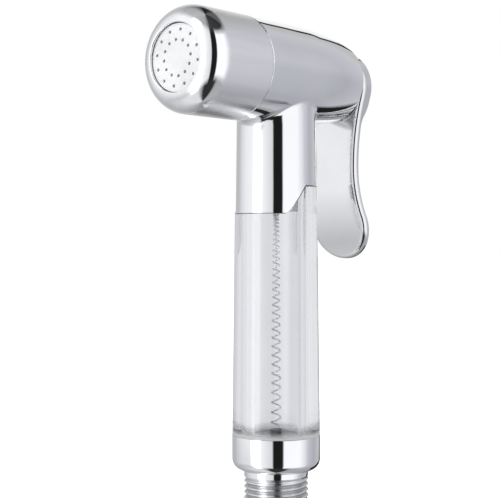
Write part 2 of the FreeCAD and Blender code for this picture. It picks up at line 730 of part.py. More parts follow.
# Valve bonnet: brass plug screwed into the barrel from behind. It guides the
# stem, with an O-ring inside and another outside.
BONNET_RADIUS = "(valve_bore - seal_gap)"
BONNET_REAR = "(bonnet_front + bonnet_length)"
BONNET_GROOVE_RADIUS = f"(valve_bore - {RING_DEPTH})"
STEM_BORE = "(stem_radius + shaft_gap)"
STEM_SEAL_DEPTH = "(2 * (stem_seal_wire + seal_gap))"
STEM_GROOVE_RADIUS = f"({STEM_BORE} + {STEM_SEAL_DEPTH})"
turned_piece("valve_bonnet", "Y", [
    ("bonnet_front", STEM_BORE),
    ("bonnet_front", BONNET_RADIUS),
    ("bonnet_groove", BONNET_RADIUS),
    ("bonnet_groove", BONNET_GROOVE_RADIUS),
    (f"bonnet_groove + {RING_DEPTH}", BONNET_GROOVE_RADIUS),
    (f"bonnet_groove + {RING_DEPTH}", BONNET_RADIUS),
    (BONNET_REAR, BONNET_RADIUS),
    (BONNET_REAR, STEM_BORE),
    (f"stem_groove + {STEM_SEAL_DEPTH}", STEM_BORE),
    (f"stem_groove + {STEM_SEAL_DEPTH}", STEM_GROOVE_RADIUS),
    ("stem_groove", STEM_GROOVE_RADIUS),
    ("stem_groove", STEM_BORE),
], "barrel_height")
o_ring("bonnet_seal", "Y", f"bonnet_groove + {RING_DEPTH} / 2",
       BONNET_GROOVE_RADIUS, "valve_bore", "barrel_height")
o_ring("stem_seal", "Y", f"stem_groove + {STEM_SEAL_DEPTH} / 2",
       STEM_BORE, STEM_GROOVE_RADIUS, "barrel_height")

# Lever: one chromed casting. A thick round cap behind the barrel fades into a
# waisted arm that hangs behind the handle and ends in a round tail bent away.
LEVER_FRONT = "(barrel_rear + lever_gap)"
ARM_REAR = f"({LEVER_FRONT} + lever_thickness)"
CAP_REAR = f"({LEVER_FRONT} + cap_thickness)"
CAP_TOP = "(cap_radius - cap_drop)"
TAIL_END = "(tail_drop + tail_radius)"
BEND_AXIS = f"({LEVER_FRONT} + bend_radius)"
BEND_DEPTH = f"({TAIL_END} - bend_drop)"
BEND_INSIDE = "(bend_radius - lever_thickness)"
# The cap's rear falls to the arm through two equal arcs that meet half way.
FADE_STEP = "(cap_thickness - lever_thickness)"
FADE_CURVE = f"((fade_length ^ 2 + {FADE_STEP} ^ 2) / (4 * {FADE_STEP}))"
lever = new_body("lever", "barrel_height")
side_view = new_sketch(lever, "lever_side", "YZ_Plane")
draw_outline(side_view, [
    (LEVER_FRONT, CAP_TOP),
    (CAP_REAR, CAP_TOP),
    (CAP_REAR, "-cap_flat_drop", FADE_CURVE, -1),
    (f"({CAP_REAR} + {ARM_REAR}) / 2", "-(cap_flat_drop + fade_drop) / 2", FADE_CURVE, 1),
    (ARM_REAR, "-fade_drop"),
    (ARM_REAR, "-bend_drop", BEND_INSIDE, 1),
    (f"{BEND_AXIS} - sqrt({BEND_INSIDE} ^ 2 - {BEND_DEPTH} ^ 2)", f"-{TAIL_END}"),
    (f"{BEND_AXIS} - sqrt(bend_radius ^ 2 - {BEND_DEPTH} ^ 2)", f"-{TAIL_END}", "bend_radius", -1),
    (LEVER_FRONT, "-bend_drop"),
])
blank = lever.newObject("PartDesign::Pad", "lever_blank")
blank.Profile = side_view
blank.SideType = "Symmetric"
blank.setExpression("Length", bind("4 * cap_radius"))
doc.recompute()
# Rear view: the cap's and the tail's circles joined by hollow sides, each side
# arc tangent to its circle and upright at the waist.
UPPER_DROP = "(waist_drop - cap_drop)"
LOWER_DROP = "(tail_drop - waist_drop)"
UPPER_ARC = (f"((waist_half_width ^ 2 + {UPPER_DROP} ^ 2 - cap_radius ^ 2)"
             " / (2 * (cap_radius - waist_half_width)))")
LOWER_ARC = (f"((waist_half_width ^ 2 + {LOWER_DROP} ^ 2 - tail_radius ^ 2)"
             " / (2 * (tail_radius - waist_half_width)))")
CAP_SHARE = f"(cap_radius / ({UPPER_ARC} + cap_radius))"
TAIL_SHARE = f"(tail_radius / ({LOWER_ARC} + tail_radius))"
CAP_SIDE = f"({CAP_SHARE} * (waist_half_width + {UPPER_ARC}))"
CAP_SIDE_UP = f"(-cap_drop - {CAP_SHARE} * {UPPER_DROP})"
TAIL_SIDE = f"({TAIL_SHARE} * (waist_half_width + {LOWER_ARC}))"
TAIL_SIDE_UP = f"(-tail_drop + {TAIL_SHARE} * {LOWER_DROP})"


def draw_around_lever(sketch):
    draw_outline(sketch, [
        ("-2 * cap_radius", "-2 * tail_drop"),
        ("2 * cap_radius", "-2 * tail_drop"),
        ("2 * cap_radius", "2 * cap_radius"),
        ("-2 * cap_radius", "2 * cap_radius"),
    ])
    draw_outline(sketch, [
        ("0", CAP_TOP, "cap_radius", -1),
        (CAP_SIDE, CAP_SIDE_UP, UPPER_ARC, 1),
        ("waist_half_width", "-waist_drop", LOWER_ARC, 1),
        (TAIL_SIDE, TAIL_SIDE_UP, "tail_radius", -1),
        ("0", f"-{TAIL_END}", "tail_radius", -1),
        (f"-{TAIL_SIDE}", TAIL_SIDE_UP, LOWER_ARC, 1),
        ("-waist_half_width", "-waist_drop", UPPER_ARC, 1),
        (f"-{CAP_SIDE}", CAP_SIDE_UP, "cap_radius", -1),
    ])


cut_pocket(lever, "lever_trim", "XZ_Plane", draw_around_lever)


def rim_edges(shape, front):
    """Edges round the lever's front face, or round its rear face."""
    names = []
    for number, edge in enumerate(shape.Edges, start=1):
        middle = edge.valueAt(sum(edge.ParameterRange) / 2)
        depth = max(-middle.z - value("bend_drop"), 0)
        face = value(BEND_AXIS) - math.sqrt(value("bend_radius") ** 2 - depth ** 2)
        seam = edge.BoundBox.ZLength < 0.05
        if not seam and (abs(middle.y - face) < 0.05) == front:
            names.append(f"Edge{number}")
    return names


trimmed = lever.Tip
rounded = lever.newObject("PartDesign::Fillet", "lever_rear_round")
rounded.Base = (trimmed, rim_edges(trimmed.Shape, False))
rounded.setExpression("Radius", bind("lever_round"))
doc.recompute()
rim = lever.newObject("PartDesign::Fillet", "lever_rim_rounding")
rim.Base = (rounded, rim_edges(rounded.Shape, True))
rim.setExpression("Radius", bind("lever_rim_round"))
doc.recompute()

# The lever's tongue reaches into the barrel and turns on the pin. Its underside
# rises towards the arm, so that it stays clear of the slot when squeezed.
tongue_view = new_sketch(lever, "tongue_side", "YZ_Plane")
draw_outline(tongue_view, [
    (ARM_REAR, "-pin_drop - tongue_radius + tongue_rise"),
    ("pin_rear", "-pin_drop - tongue_radius", "tongue_radius", -1),
    ("pin_rear - tongue_radius", "-pin_drop", "tongue_radius", -1),
    ("pin_rear", "-pin_drop + tongue_radius"),
    (ARM_REAR, "-pin_drop + tongue_radius"),
])
tongue = lever.newObject("PartDesign::Pad", "tongue")
tongue.Profile = tongue_view
tongue.SideType = "Symmetric"
tongue.setExpression("Length", bind("2 * tongue_half_width"))
doc.recompute()
cut_pocket(lever, "tongue_hole", "YZ_Plane",
           lambda sketch: draw_circle(sketch, "pin_rear", "-pin_drop", "pin_radius + shaft_gap"))


def cut_ball_slot(name, front, rear, foot, top, half_width):
    """Straight-sided pocket in the cap, from its front face backwards."""
    cut_pocket(lever, name, "YZ_Plane", lambda sketch: draw_outline(sketch, [
        (front, foot),
        (rear, foot),
        (rear, top),
        (front, top),
    ]), depth=f"2 * {half_width}")


# A keyhole slot in the cap's front holds the stem's ball: the ball goes in at
# the wide lower end, and its neck slides up the narrow slot.
BALL_ROOM = "(stem_ball_radius + ball_slot_gap)"
SLOT_MOUTH = f"({LEVER_FRONT} - fit_gap)"
SLOT_REAR = f"(stem_ball + {BALL_ROOM})"
SLOT_TOP = f"({BALL_ROOM} + ball_slot_rise)"
cut_ball_slot("ball_room", f"{LEVER_FRONT} + ball_slot_web", SLOT_REAR,
              f"-{BALL_ROOM}", SLOT_TOP, BALL_ROOM)
cut_ball_slot("ball_neck_slot", SLOT_MOUTH, f"{LEVER_FRONT} + ball_slot_web",
              f"-{BALL_ROOM}", SLOT_TOP, "ball_slot_half_width")
cut_ball_slot("ball_entry", SLOT_MOUTH, SLOT_REAR,
              f"-3 * {BALL_ROOM}", f"-{BALL_ROOM}", BALL_ROOM)

# Hinge pin: plain steel, driven in from the left side of the barrel.
pin = doc.addObject("Part::Cylinder", "hinge_pin")
pin.Label = "hinge_pin"
pin.setExpression("Radius", bind("pin_radius"))
pin.setExpression("Height", bind("pin_short_side + pin_long_side"))
pin.setExpression("Placement.Base.x", bind("-pin_long_side"))
pin.setExpression("Placement.Base.y", bind("pin_rear"))
pin.setExpression("Placement.Base.z", bind("barrel_height - pin_drop"))
pin.Placement.Rotation = ALONG_X
doc.recompute()

failed = [item.Label for item in doc.Objects if {"Invalid", "Error"} & set(item.State)]
if failed:
    raise RuntimeError("failed: " + ", ".join(failed))
PIECE_TYPES = ("PartDesign::Body", "Part::Torus", "Part::Cylinder")
pieces = [item for item in doc.Objects if item.TypeId in PIECE_TYPES]
for piece in pieces:
    if piece.Shape.isNull() or not piece.Shape.isValid() or len(piece.Shape.Solids) != 1:
        raise RuntimeError("bad shape: " + piece.Label)
os.makedirs("parts", exist_ok=True)
for piece in pieces:
    piece.Shape.exportStep(f"parts/{piece.Label}.step")
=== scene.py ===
import math

import bmesh
import bpy
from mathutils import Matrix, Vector


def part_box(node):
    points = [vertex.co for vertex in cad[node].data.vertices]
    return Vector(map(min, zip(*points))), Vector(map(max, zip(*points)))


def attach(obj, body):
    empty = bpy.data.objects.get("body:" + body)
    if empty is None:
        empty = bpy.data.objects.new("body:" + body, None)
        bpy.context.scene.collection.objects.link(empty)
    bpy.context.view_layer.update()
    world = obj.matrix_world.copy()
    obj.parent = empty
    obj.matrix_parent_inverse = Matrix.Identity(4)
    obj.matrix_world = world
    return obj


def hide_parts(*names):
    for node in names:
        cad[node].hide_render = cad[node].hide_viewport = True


# Handheld bidet shower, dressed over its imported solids. Metres, +Z up the
# handle; the nozzle points along -Y and the lever stands on the +Y side.
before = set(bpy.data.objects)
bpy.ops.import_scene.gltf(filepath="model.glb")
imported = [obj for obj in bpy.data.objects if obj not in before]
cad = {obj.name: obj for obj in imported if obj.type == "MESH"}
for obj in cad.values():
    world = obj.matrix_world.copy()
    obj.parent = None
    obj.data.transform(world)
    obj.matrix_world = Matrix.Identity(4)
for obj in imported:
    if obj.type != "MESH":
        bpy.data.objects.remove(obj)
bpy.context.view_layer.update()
MM = 0.001

# End fitting. Chromed brass, turned: a ring that takes the handle's foot over a
# G1/2 male thread for the hose, bored through for the water. The thread is a
# rounded helical ridge that fades out below a plain collar.
THREAD_RADIUS = 10.4775 * MM
THREAD_PITCH = 1.814 * MM
THREAD_DEPTH = 0.95 * MM
THREAD_TOP = 9.4 * MM
THREAD_FOOT = 0.8 * MM
THREAD_FLANK = 0.8
THREAD_ROWS = 121
COLLAR_ROUND = 0.25 * MM
SHOULDER = 11.2 * MM
BORE = 5.5 * MM
CUP_RADIUS = 11.6 * MM
CUP_FLOOR = 13.4 * MM
CUP_ROUND = 0.2 * MM
SEAM_GAP = 0.001 * MM
JOIN_GAP = 0.002 * MM
FACE_MARGIN = 0.05 * MM
RING_FOOT_ROUND = 3.4 * MM
RING_EDGE_ROUND = 0.3 * MM
RING_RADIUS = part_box("end_fitting")[1].x
RING_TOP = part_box("end_fitting")[1].z
LATHE_STEPS = 160
ARC_STEPS = 10


def rounded(corners):
    """Profile points with an arc at each corner (along, radius, round)."""
    points = []
    count = len(corners)
    for i, (along, out, size) in enumerate(corners):
        here = Vector((along, out))
        if size == 0:
            points.append(here)
            continue
        before = (Vector(corners[i - 1][:2]) - here).normalized()
        after = (Vector(corners[(i + 1) % count][:2]) - here).normalized()
        half = before.angle(after) / 2
        reach = size / math.tan(half)
        centre = here + (before + after).normalized() * (size / math.sin(half))
        start = here + before * reach - centre
        end = here + after * reach - centre
        turn = start.angle_signed(end)
        for step in range(ARC_STEPS + 1):
            angle = -turn * step / ARC_STEPS
            cos, sin = math.cos(angle), math.sin(angle)
            points.append(centre + Vector((start.x * cos - start.y * sin,
                                           start.x * sin + start.y * cos)))
    return points


def mesh_object(name, tool):
    """The bmesh as an object of the scene; the bmesh is used up."""
    mesh = bpy.data.meshes.new(name)
    tool.to_mesh(mesh)
    tool.free()
    piece = bpy.data.objects.new(name, mesh)
    bpy.context.scene.collection.objects.link(piece)
    return piece


def turned(name, profile):
    """Lathe an open profile of (along, radius) points about Z."""
    tool = bmesh.new()
    rings = []
    for along, out in profile:
        ring = []
        for i in range(LATHE_STEPS):
            angle = 2 * math.pi * i / LATHE_STEPS
            ring.append(tool.verts.new((out * math.cos(angle), out * math.sin(angle), along)))
        rings.append(ring)
    for lower, upper in zip(rings, rings[1:]):
        for i in range(LATHE_STEPS):
            j = (i + 1) % LATHE_STEPS
            tool.faces.new((lower[i], lower[j], upper[j], upper[i]))
    bmesh.ops.recalc_face_normals(tool, faces=tool.faces)
    return mesh_object(name, tool)


def shade(piece, angle):
    """Smooth shading that keeps the edges sharper than an angle in degrees."""
    piece.data.shade_smooth()
    piece.data.set_sharp_from_angle(angle=math.radians(angle))


class Tree:
    """A node tree under construction: add nodes, wire sockets by name."""

    def __init__(self, tree):
        self.tree = tree

    def add(self, kind, **settings):
        node = self.tree.nodes.new(kind)
        for key, setting in settings.items():
            setattr(node, key, setting)
        return node

    def wire(self, source, target):
        self.tree.links.new(source, target)

    def math(self, operation, first, second=None):
        """A Math node fed by sockets or plain numbers; returns its output."""
        node = self.add("ShaderNodeMath", operation=operation)
        for slot, term in enumerate((first, second)):
            if isinstance(term, bpy.types.NodeSocket):
                self.wire(term, node.inputs[slot])
            elif term is not None:
                node.inputs[slot].default_value = term
        return node.outputs[0]

    def product(self, *terms):
        """All terms multiplied, from the first on."""
        result = terms[0]
        for term in terms[1:]:
            result = self.math("MULTIPLY", result, term)
        return result

    def split(self, source):
        """The X, Y and Z of a place."""
        node = self.add("ShaderNodeSeparateXYZ")
        self.wire(source, node.inputs[0])
        return node.outputs


def geometry_tree(name, sizes):
    """A Geometry Nodes group with a geometry input, named sizes and a material."""
    group = bpy.data.node_groups.new(name, "GeometryNodeTree")
    group.interface.new_socket("Geometry", in_out="INPUT", socket_type="NodeSocketGeometry")
    for size in sizes:
        group.interface.new_socket(size, in_out="INPUT", socket_type="NodeSocketFloat")
    group.interface.new_socket("Material", in_out="INPUT", socket_type="NodeSocketMaterial")
    group.interface.new_socket("Geometry", in_out="OUTPUT", socket_type="NodeSocketGeometry")
    tree = Tree(group)
    tree.sizes = sizes
    tree.source = tree.add("NodeGroupInput")
    return tree


def close_tree(tree, geometry):
    """End a Geometry Nodes group in Realize Instances and Set Material."""
    real = tree.add("GeometryNodeRealizeInstances")
    paint = tree.add("GeometryNodeSetMaterial")
    sink = tree.add("NodeGroupOutput")
    tree.wire(geometry, real.inputs[0])
    tree.wire(real.outputs[0], paint.inputs["Geometry"])
    tree.wire(tree.source.outputs["Material"], paint.inputs["Material"])
    tree.wire(paint.outputs[0], sink.inputs[0])


def grown(tree, finish):
    """A piece made by a Geometry Nodes group and named like it, as a plain mesh."""
    name = tree.tree.name
    piece = bpy.data.objects.new(name, bpy.data.meshes.new(name))
    bpy.context.scene.collection.objects.link(piece)
    modifier = piece.modifiers.new(name, "NODES")
    modifier.node_group = tree.tree
    for item in tree.tree.interface.items_tree:
        if item.in_out == "INPUT" and item.name in tree.sizes:
            modifier[item.identifier] = tree.sizes[item.name]
        if item.in_out == "INPUT" and item.name == "Material":
            modifier[item.identifier] = finish
    graph = bpy.context.evaluated_depsgraph_get()
    mesh = bpy.data.meshes.new_from_object(piece.evaluated_get(graph))
    piece.modifiers.clear()
    piece.data = mesh
    return piece


def surface(name, metallic=0.0, **sockets):
    """A material with its Principled shader, returned with the tree to build on."""
    finish = bpy.data.materials.new(name)
    finish.use_nodes = True
    tree = Tree(finish.node_tree)
    tree.shader = finish.node_tree.nodes["Principled BSDF"]
    tree.shader.inputs["Metallic"].default_value = metallic
    for socket, setting in sockets.items():
        tree.shader.inputs[socket.replace("_", " ")].default_value = setting
    tree.place = tree.add("ShaderNodeTexCoord").outputs["Object"]
    return finish, tree


def noise(tree, waves, detail, stretch=(1, 1, 1)):
    """Noise over the piece, in waves per metre, stretched along the axes."""
    mapping = tree.add("ShaderNodeMapping")
    mapping.inputs["Scale"].default_value = stretch
    tree.wire(tree.place, mapping.inputs["Vector"])
    pattern = tree.add("ShaderNodeTexNoise")
    pattern.inputs["Scale"].default_value = waves
    pattern.inputs["Detail"].default_value = detail
    tree.wire(mapping.outputs[0], pattern.inputs["Vector"])
    return pattern.outputs["Fac"]


def spread(tree, factor, low, high, start=0.35, stop=0.65):
    """Factor between start and stop turned into a number from low to high."""
    node = tree.add("ShaderNodeMapRange")
    tree.wire(factor, node.inputs["Value"])
    node.inputs["From Min"].default_value = start
    node.inputs["From Max"].default_value = stop
    node.inputs["To Min"].default_value = low
    node.inputs["To Max"].default_value = high
    return node.outputs[0]


def rising(tree, factor, start, stop):
    """0 up to start, 1 from stop on."""
    return spread(tree, factor, 0.0, 1.0, start, stop)


def falling(tree, factor, start, stop):
    """1 up to start, 0 from stop on."""
    return spread(tree, factor, 1.0, 0.0, start, stop)


def tint(tree, factor, dark, light, start=0.3, stop=0.7):
    """Factor turned into a colour between two colours."""
    ramp = tree.add("ShaderNodeValToRGB")
    ends = ramp.color_ramp.elements
    ends[0].position, ends[0].color = start, (*dark, 1)
    ends[1].position, ends[1].color = stop, (*light, 1)
    tree.wire(factor, ramp.inputs["Fac"])
    return ramp.outputs["Color"]


def mixed(tree, share, low, high):
    """Colour low where share is 0, high where it is 1."""
    mix = tree.add("ShaderNodeMix", data_type="RGBA")
    share_in, low_in, high_in = mix.inputs[0], mix.inputs[6], mix.inputs[7]
    tree.wire(share, share_in)
    tree.wire(low, low_in)
    tree.wire(high, high_in)
    return mix.outputs[2]


def colour(tree, waves, detail, dark, light):
    """Base colour that varies between two colours."""
    tree.wire(tint(tree, noise(tree, waves, detail), dark, light), tree.shader.inputs["Base Color"])


def gloss(tree, waves, detail, low, high):
    """Roughness that varies between two numbers."""
    tree.wire(spread(tree, noise(tree, waves, detail), low, high), tree.shader.inputs["Roughness"])


def marks(tree, waves, detail, depth, stretch=(1, 1, 1)):
    """Bump of a real depth in metres."""
    bump = tree.add("ShaderNodeBump")
    bump.inputs["Strength"].default_value = 1.0
    bump.inputs["Distance"].default_value = depth
    tree.wire(noise(tree, waves, detail, stretch), bump.inputs["Height"])
    tree.wire(bump.outputs[0], tree.shader.inputs["Normal"])


def from_axis(tree):
    """Distance from the handle's axis."""
    spot = tree.split(tree.place)
    squares = [tree.math("POWER", spot[axis], 2.0) for axis in ("X", "Y")]
    return tree.math("SQRT", tree.math("ADD", *squares))


chrome, tree = surface("polished_chrome", metallic=1.0)
colour(tree, waves=60, detail=4, dark=(0.845, 0.85, 0.868), light=(0.88, 0.885, 0.895))
gloss(tree, waves=350, detail=5, low=0.03, high=0.06)
marks(tree, waves=55, detail=1, depth=0.06 * MM)

# Inside of the ring's cup: bare of bright plating, pale and dull.
plated, tree = surface("dull_plating")
colour(tree, waves=300, detail=4, dark=(0.76, 0.76, 0.775), light=(0.84, 0.84, 0.85))
gloss(tree, waves=900, detail=3, low=0.5, high=0.7)
marks(tree, waves=1500, detail=2, depth=0.01 * MM)

# Plating on the thread, worn bright on its crests and dull in its roots; the roots are also painted
# darker, as painted shade in the grooves.
ROOT_RADIUS = 9.55 * MM
CREST_RADIUS = 10.45 * MM
worn_and_root_shade, tree = surface("thread_plating", metallic=1.0)
crest = rising(tree, from_axis(tree), ROOT_RADIUS, CREST_RADIUS)
patches = spread(tree, noise(tree, waves=500, detail=4), low=-0.1, high=0.1)
# Painted shade: the thread's colour darkens from crest to root.
tree.wire(tint(tree, tree.math("ADD", crest, patches), (0.46, 0.465, 0.475), (0.88, 0.885, 0.895),
               start=0.0, stop=1.0), tree.shader.inputs["Base Color"])
tree.wire(spread(tree, crest, low=0.32, high=0.14, start=0.0, stop=1.0),
          tree.shader.inputs["Roughness"])
marks(tree, waves=900, detail=3, depth=0.01 * MM)

# The thread's winding: a flat grid rolled round the axis, its radius cut in by
# a groove that runs up with the pitch and fades out at both ends.
thread = geometry_tree("thread_winding", {
    "Radius": THREAD_RADIUS, "Pitch": THREAD_PITCH, "Depth": THREAD_DEPTH,
    "Foot": THREAD_FOOT, "Top": THREAD_TOP})
size = thread.source.outputs
grid = thread.add("GeometryNodeMeshGrid")
grid.inputs["Size X"].default_value = 1
grid.inputs["Size Y"].default_value = 1
grid.inputs["Vertices X"].default_value = LATHE_STEPS + 1
grid.inputs["Vertices Y"].default_value = THREAD_ROWS
spot = thread.split(thread.add("GeometryNodeInputPosition").outputs[0])
around = thread.product(thread.math("ADD", spot["X"], 0.5), 2 * math.pi)
share = thread.math("ADD", spot["Y"], 0.5)
length = thread.math("SUBTRACT", size["Top"], size["Foot"])
rise = thread.product(share, length)
left = thread.math("SUBTRACT", length, rise)
turns = thread.math("DIVIDE", rise, size["Pitch"])
phase = thread.math("SUBTRACT", thread.product(turns, 2 * math.pi), around)
wave = thread.product(thread.math("SUBTRACT", 1.0, thread.math("COSINE", phase)), 0.5)
groove = thread.math("POWER", wave, THREAD_FLANK)
foot_fade = thread.math("MINIMUM", turns, 1.0)
top_fade = thread.math("MINIMUM", thread.math("DIVIDE", left, size["Pitch"]), 1.0)
deep = thread.product(groove, foot_fade, top_fade, size["Depth"])
out = thread.math("SUBTRACT", size["Radius"], deep)
join = thread.add("ShaderNodeCombineXYZ")
thread.wire(thread.product(out, thread.math("COSINE", around)), join.inputs["X"])
thread.wire(thread.product(out, thread.math("SINE", around)), join.inputs["Y"])
thread.wire(thread.math("ADD", rise, size["Foot"]), join.inputs["Z"])
move = thread.add("GeometryNodeSetPosition")
thread.wire(grid.outputs["Mesh"], move.inputs["Geometry"])
thread.wire(join.outputs[0], move.inputs["Position"])
weld = thread.add("GeometryNodeMergeByDistance")
weld.inputs["Distance"].default_value = SEAM_GAP
thread.wire(move.outputs[0], weld.inputs["Geometry"])
close_tree(thread, weld.outputs[0])

# The fitting: foot, winding and cup joined in one mesh; chrome outside, worn
# plating with painted shade in its roots on the thread and dull plating inside the cup.
foot = turned("end_ring", [
    (0, BORE), (0, THREAD_RADIUS - THREAD_FOOT), (THREAD_FOOT, THREAD_RADIUS)])
winding = grown(thread, chrome)
cup = turned("end_cup", [
    (THREAD_TOP, THREAD_RADIUS),
    *rounded([
        (SHOULDER, THREAD_RADIUS, COLLAR_ROUND),
        (SHOULDER, RING_RADIUS, RING_FOOT_ROUND),
        (RING_TOP, RING_RADIUS, RING_EDGE_ROUND),
        (RING_TOP, CUP_RADIUS, CUP_ROUND),
        (CUP_FLOOR, CUP_RADIUS, CUP_ROUND),
        (CUP_FLOOR, BORE, 0),
    ]),
    (0, BORE)])
tool = bmesh.new()
for part in (foot, winding, cup):
    tool.from_mesh(part.data)
    bpy.data.objects.remove(part)
bmesh.ops.remove_doubles(tool, verts=tool.verts, dist=JOIN_GAP)
bmesh.ops.recalc_face_normals(tool, faces=tool.faces)
fitting = mesh_object("end_fitting_turned", tool)
mesh = fitting.data
for finish in (chrome, plated, worn_and_root_shade):
    mesh.materials.append(finish)
for face in mesh.polygons:
    inside = math.hypot(face.center.x, face.center.y) < CUP_RADIUS + FACE_MARGIN
    if face.center.z < THREAD_TOP:
        face.material_index = 2
    elif inside and face.center.z > CUP_FLOOR - FACE_MARGIN:
        face.material_index = 1
shade(fitting, 40)
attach(fitting, "shower")
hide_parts("end_fitting")

# Coil ferrule. Moulded plastic, a slotted disc with a dark stub that grips the coil's foot;
# the disc is painted pale, as painted light that lifts it in the shade of the cup.
STUB_RADIUS = 1.95 * MM
PALE_DISC_START = 0.1 * MM
PALE_DISC_FULL = 0.4 * MM
dark_plastic, tree = surface("black_plastic")
grain = noise(tree, waves=500, detail=4)
# Painted light: the disc round the stub is painted pale, the stub stays dark.
pale_disc_light = rising(tree, from_axis(tree), STUB_RADIUS + PALE_DISC_START, STUB_RADIUS + PALE_DISC_FULL)
tree.wire(mixed(tree, pale_disc_light,
                tint(tree, grain, (0.05, 0.048, 0.06), (0.08, 0.077, 0.092)),
                tint(tree, grain, (0.8, 0.8, 0.815), (0.88, 0.88, 0.895))),
          tree.shader.inputs["Base Color"])
gloss(tree, waves=900, detail=3, low=0.35, high=0.5)
marks(tree, waves=2500, detail=2, depth=0.01 * MM)


def refinish(finish, *nodes):
    """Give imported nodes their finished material, their meshes left as they are."""
    for node in nodes:
        mesh = cad[node].data
        mesh.materials.clear()
        mesh.materials.append(finish)


refinish(dark_plastic, "coil_ferrule")

# Seals. Black moulded rubber: a flat ring behind the spray plate, O-rings in
# their grooves and the valve's washer.
rubber, tree = surface("seal_rubber")
colour(tree, waves=400, detail=4, dark=(0.02, 0.02, 0.021), light=(0.045, 0.045, 0.046))
gloss(tree, waves=1200, detail=3, low=0.5, high=0.75)
marks(tree, waves=3000, detail=2, depth=0.01 * MM)
refinish(rubber, "tube_seal", "collar_seal", "plate_seal", "bonnet_seal", "stem_seal",
         "valve_washer")

# Foot seal. Flat ring of grey silicone between the ferrule's disc and the
# handle; it shows through the clear handle as a grey band over the end fitting.
silicone, tree = surface("grey_silicone")
colour(tree, waves=300, detail=4, dark=(0.66, 0.66, 0.675), light=(0.74, 0.74, 0.75))
gloss(tree, waves=1200, detail=3, low=0.42, high=0.6)
marks(tree, waves=3000, detail=2, depth=0.01 * MM)
refinish(silicone, "foot_seal")

# Valve parts. Turned brass with fine tool marks: seat, stem, washer screw and
# the bonnet that closes the barrel. All of them are inside the head.
brass, tree = surface("turned_brass", metallic=1.0)
colour(tree, waves=200, detail=4, dark=(0.62, 0.45, 0.21), light=(0.8, 0.62, 0.33))
gloss(tree, waves=1500, detail=3, low=0.2, high=0.36)
marks(tree, waves=2500, detail=2, depth=0.01 * MM, stretch=(0.05, 1, 0.05))
refinish(brass, "valve_seat", "washer_screw", "valve_stem", "valve_bonnet")

# Neck insert. Nickel-plated brass that joins neck and handle; its spigot shows
# as a grey patch through the clear handle behind the neck's raised edge.
nickel, tree = surface("satin_nickel", metallic=1.0)
colour(tree, waves=250, detail=4, dark=(0.3, 0.3, 0.312), light=(0.38, 0.38, 0.39))
gloss(tree, waves=900, detail=3, low=0.28, high=0.42)
marks(tree, waves=2000, detail=2, depth=0.01 * MM, stretch=(0.05, 0.05, 1))
refinish(nickel, "neck_insert")

# Spring and pin. Drawn steel wire, evenly mottled: the valve's return spring
# and the hinge pin.
steel, tree = surface("drawn_steel", metallic=1.0)
colour(tree, waves=600, detail=4, dark=(0.4, 0.4, 0.405), light=(0.6, 0.6, 0.6))
gloss(tree, waves=1500, detail=3, low=0.18, high=0.34)
marks(tree, waves=4000, detail=2, depth=0.004 * MM)
refinish(steel, "return_spring", "hinge_pin")

# Wire coil. Thin stainless wire on the handle's axis, close wound at its head
# and drawn open towards its foot, where its turns are wider and duller.
DULL_TOP = 65.0 * MM
BRIGHT_FOOT = 92.0 * MM
stainless, tree = surface("stainless_wire", metallic=1.0)
grain = noise(tree, waves=600, detail=4)
bright = rising(tree, tree.split(tree.place)["Z"], DULL_TOP, BRIGHT_FOOT)
tree.wire(mixed(tree, bright,
                tint(tree, grain, (0.5, 0.5, 0.51), (0.66, 0.66, 0.67)),
                tint(tree, grain, (0.82, 0.82, 0.83), (0.92, 0.92, 0.93))),
          tree.shader.inputs["Base Color"])
gloss(tree, waves=1500, detail=3, low=0.3, high=0.42)
marks(tree, waves=4000, detail=2, depth=0.004 * MM)

# Its winding: a line of points taken round the axis, closer and narrower
# towards the head, and swept with the wire's round section.
COIL_WIRE = 0.27 * MM
COIL_TURNS = 30.0
COIL_FOOT_RADIUS = 1.5 * MM
COIL_HEAD_RADIUS = 0.75 * MM
COIL_TIGHTENING = 1.45
COIL_POINTS = 900
WIRE_SIDES = 10
coil_low, coil_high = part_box("wire_coil")
coil = geometry_tree("coil_winding", {
    "Foot": coil_low.z + COIL_WIRE, "Height": coil_high.z - coil_low.z - 2 * COIL_WIRE,
    "Foot Radius": COIL_FOOT_RADIUS, "Head Radius": COIL_HEAD_RADIUS,
    "Turns": COIL_TURNS, "Wire": COIL_WIRE})
size = coil.source.outputs
line = coil.add("GeometryNodeCurvePrimitiveLine")
line.inputs["End"].default_value = (1, 0, 0)
cut = coil.add("GeometryNodeResampleCurve")
cut.inputs["Count"].default_value = COIL_POINTS
coil.wire(line.outputs[0], cut.inputs["Curve"])
share = coil.split(coil.add("GeometryNodeInputPosition").outputs[0])["X"]
around = coil.product(share, size["Turns"], 2 * math.pi)
left = coil.math("SUBTRACT", 1.0, share)
climb = coil.math("SUBTRACT", 1.0, coil.math("POWER", left, COIL_TIGHTENING))
width = coil.math("ADD", coil.product(left, size["Foot Radius"]),
                  coil.product(share, size["Head Radius"]))
join = coil.add("ShaderNodeCombineXYZ")
coil.wire(coil.product(width, coil.math("COSINE", around)), join.inputs["X"])
coil.wire(coil.product(width, coil.math("SINE", around)), join.inputs["Y"])
coil.wire(coil.math("ADD", coil.product(climb, size["Height"]), size["Foot"]), join.inputs["Z"])
move = coil.add("GeometryNodeSetPosition")
coil.wire(cut.outputs[0], move.inputs["Geometry"])
coil.wire(join.outputs[0], move.inputs["Position"])
section = coil.add("GeometryNodeCurvePrimitiveCircle")
section.inputs["Resolution"].default_value = WIRE_SIDES
coil.wire(size["Wire"], section.inputs["Radius"])
sweep = coil.add("GeometryNodeCurveToMesh")
sweep.inputs["Fill Caps"].default_value = True
coil.wire(move.outputs[0], sweep.inputs["Curve"])
coil.wire(section.outputs[0], sweep.inputs["Profile Curve"])
close_tree(coil, sweep.outputs[0])
wire = grown(coil, stainless)
shade(wire, 60)
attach(wire, "shower")
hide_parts("wire_coil")

